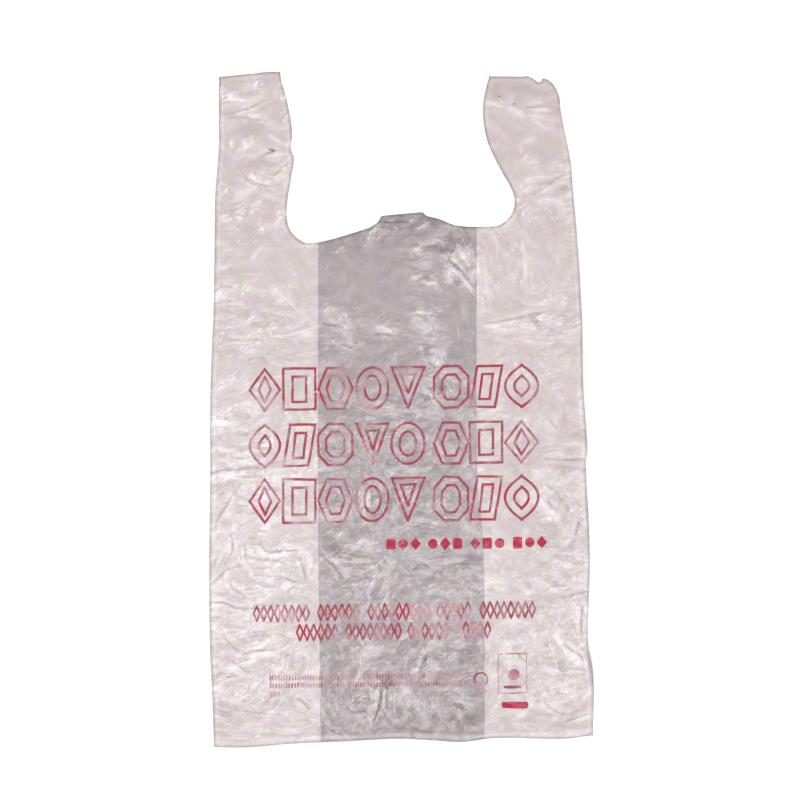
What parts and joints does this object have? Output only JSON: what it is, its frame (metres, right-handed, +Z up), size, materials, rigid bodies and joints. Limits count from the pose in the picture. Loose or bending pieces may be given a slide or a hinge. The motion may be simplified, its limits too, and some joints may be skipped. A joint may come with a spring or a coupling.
{
  "type": "plastic carrier bag",
  "caption": "Thin plastic film carrier bag with two loop handles, tucked side gussets and a heat-sealed bottom, lying flat and empty.",
  "frame": {"origin": "on the surface that the bag lies on, under the middle of its outline", "axes": "+X across the width towards the handle with the torn corner, +Y from the sealed bottom to the handles, +Z up out of the printed front panel"},
  "size_m": [0.292, 0.533, 0.0042],
  "materials": {
    "film": "satin",
    "print": "matte"
  },
  "bodies": {
    "root": {"carrier_bag": "film"}
  },
  "joints": []
}
